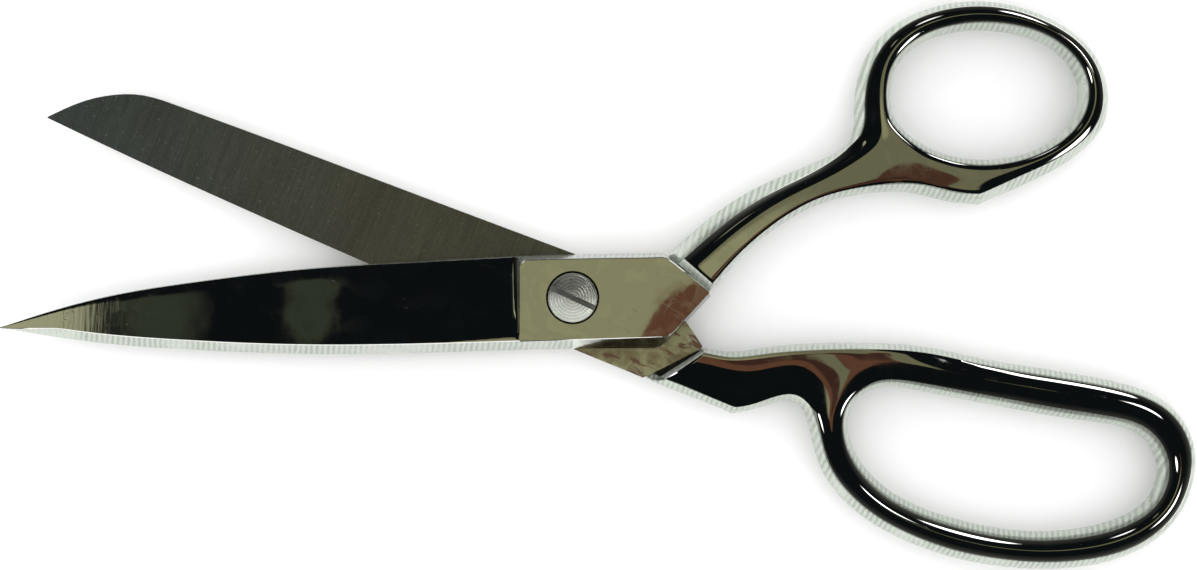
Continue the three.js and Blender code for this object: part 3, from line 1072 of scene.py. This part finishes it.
washer = spring_washer()
screw = pivot_screw(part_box("spring_washer")[1].z / MM + HEAD_GAP, (turned, slot_steel))
nut = lock_nut()
coat(washer, [spring_steel])
coat(nut, [nut_steel])
for piece, stands_for, slot in (
    (screw, "pivot_screw", "turned_steel"),
    (washer, "spring_washer", "spring_steel"),
    (nut, "lock_nut", "turned_steel"),
):
    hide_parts(stands_for)
    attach(piece, "finger")

# ---------------------------------------------------------------- table, light and camera

TABLE_REACH = 3  # from the shears to each side of the table
TABLE_GAP = 0.0002  # between the table and the shears
floor_mesh = bpy.data.meshes.new("table")
bm = bmesh.new()
bmesh.ops.create_grid(bm, x_segments=2, y_segments=2, size=TABLE_REACH)
bm.to_mesh(floor_mesh)
bm.free()
floor = bpy.data.objects.new("table", floor_mesh)
floor.location.z = -TABLE_GAP
bpy.context.scene.collection.objects.link(floor)
coat(floor, [white_paper()])

# The metal reflects a dim room: near-black all round, greyer towards the walls, with a patch of
# beige ceiling straight above, brown shapes beside it and a few soft lamps. ROOM is (share of the
# way from the zenith to straight down, colour). Each spot is (azimuth, angle from the zenith,
# radius, softness, colour), in degrees, and covers the spots before it.
TABLE_LIGHT = 1.4  # falls on all that scatters light, above all the table; no mirror shows it
PALE = (0.36, 0.36, 0.23)
BEIGE = (0.265, 0.262, 0.147)
DIM_BEIGE = (0.15, 0.148, 0.085)
BROWN = (0.115, 0.05, 0.028)
DARK_BROWN = (0.068, 0.031, 0.019)
SHADED_BROWN = (0.045, 0.021, 0.015)
OLIVE = (0.033, 0.04, 0.026)
BLACK = (0.0042, 0.0055, 0.006)
ROOM = [
    (0, BLACK),
    (45 / 180, BLACK),
    (70 / 180, (0.035, 0.036, 0.032)),
    (86 / 180, (0.13, 0.13, 0.12)),
    (90 / 180, (0.4, 0.4, 0.38)),
    (1, (0.9, 0.9, 0.9)),
]
LAMP = (4.0, 4.0, 4.0)
DIM_LAMP = (1.5, 1.5, 1.5)
SPOTS = [
    (45, 4.2, 7.3, 0.4, DIM_BEIGE),
    (90, 0.8, 2.6, 2.5, BEIGE),
    (-36, 4.45, 3.1, 0.05, BROWN),
    (-18, 7.6, 2.6, 0.2, BROWN),
    (-28, 4.1, 1.45, 0.5, SHADED_BROWN),
    (6, 6.15, 1.15, 0.25, SHADED_BROWN),
    (-18.2, 5.14, 0.4, 0.15, DIM_BEIGE),
    (-23.7, 5.33, 0.4, 0.15, DIM_BEIGE),
    (-28.7, 5.56, 0.4, 0.15, DIM_BEIGE),
    (-21, 11.6, 4.8, 0.5, BLACK),
    (16, 7.25, 0.8, 0.1, DARK_BROWN),
    (21, 7.0, 0.55, 0.1, DARK_BROWN),
    (122, 31, 1.2, 1.3, PALE),
    (116.1, 29.4, 0.3, 0.9, OLIVE),
    (109.9, 28.1, 0.4, 0.25, OLIVE),
    (109.3, 28.9, 0.4, 0.25, OLIVE),
    (65, 52, 3.5, 3.5, LAMP),
    (-30, 35, 4, 4, LAMP),
    (195, 27, 3, 3, LAMP),
    (97, 36, 2, 2.5, DIM_LAMP),
    (34, 24, 2.5, 2.5, LAMP),
]


def aim(azimuth, from_zenith):
    """The unit vector towards a point of the sky, from its angles in degrees."""
    azimuth, from_zenith = math.radians(azimuth), math.radians(from_zenith)
    level = math.sin(from_zenith)
    return (level * math.cos(azimuth), level * math.sin(azimuth), math.cos(from_zenith))


world = bpy.data.worlds.new("studio")
bpy.context.scene.world = world
world.use_nodes = True
sky = world.node_tree
direction = node(sky, "ShaderNodeTexCoord").outputs["Generated"]
height = node(sky, "ShaderNodeSeparateXYZ", {"Vector": direction}).outputs["Z"]
from_zenith = node(sky, "ShaderNodeMath", {0: height}, operation="ARCCOSINE").outputs[0]
turn = node(sky, "ShaderNodeMath", {0: from_zenith, 1: math.pi}, operation="DIVIDE").outputs[0]
room = ramp(sky, turn, ROOM)
for azimuth, zenith_angle, radius, softness, colour in SPOTS:
    towards = {0: direction, 1: aim(azimuth, zenith_angle)}
    facing = node(sky, "ShaderNodeVectorMath", towards, operation="DOT_PRODUCT").outputs["Value"]
    edges = {
        "Value": facing,
        "From Min": math.cos(math.radians(radius + softness)),
        "From Max": math.cos(math.radians(radius)),
    }
    inside = node(sky, "ShaderNodeMapRange", edges, interpolation_type="SMOOTHSTEP").outputs[0]
    blend = {"Fac": inside, "Color1": room, "Color2": (*colour, 1)}
    room = node(sky, "ShaderNodeMixRGB", blend).outputs["Color"]
on_table = node(sky, "ShaderNodeLightPath").outputs["Is Diffuse Ray"]
table_light = (TABLE_LIGHT, TABLE_LIGHT, TABLE_LIGHT, 1)
soft_box = {"Fac": on_table, "Color1": room, "Color2": table_light}
lighting = node(sky, "ShaderNodeMixRGB", soft_box).outputs["Color"]
sky.links.new(lighting, sky.nodes["Background"].inputs["Color"])

CAMERA_HEIGHT = 0.45
VIEW_WIDTH = 0.2011  # width of the view at the parting plane
VIEW_CENTRE = (0.0043, 0.0021)  # what the camera stands straight above
SENSOR = 36  # width in millimetres
camera_data = bpy.data.cameras.new("camera")
camera = bpy.data.objects.new("camera", camera_data)
bpy.context.scene.collection.objects.link(camera)
camera.location = (*VIEW_CENTRE, CAMERA_HEIGHT)
camera_data.sensor_width = SENSOR
camera_data.lens = SENSOR * (CAMERA_HEIGHT - HALF * MM) / VIEW_WIDTH
bpy.context.scene.camera = camera
bpy.context.scene.view_settings.view_transform = "Standard"
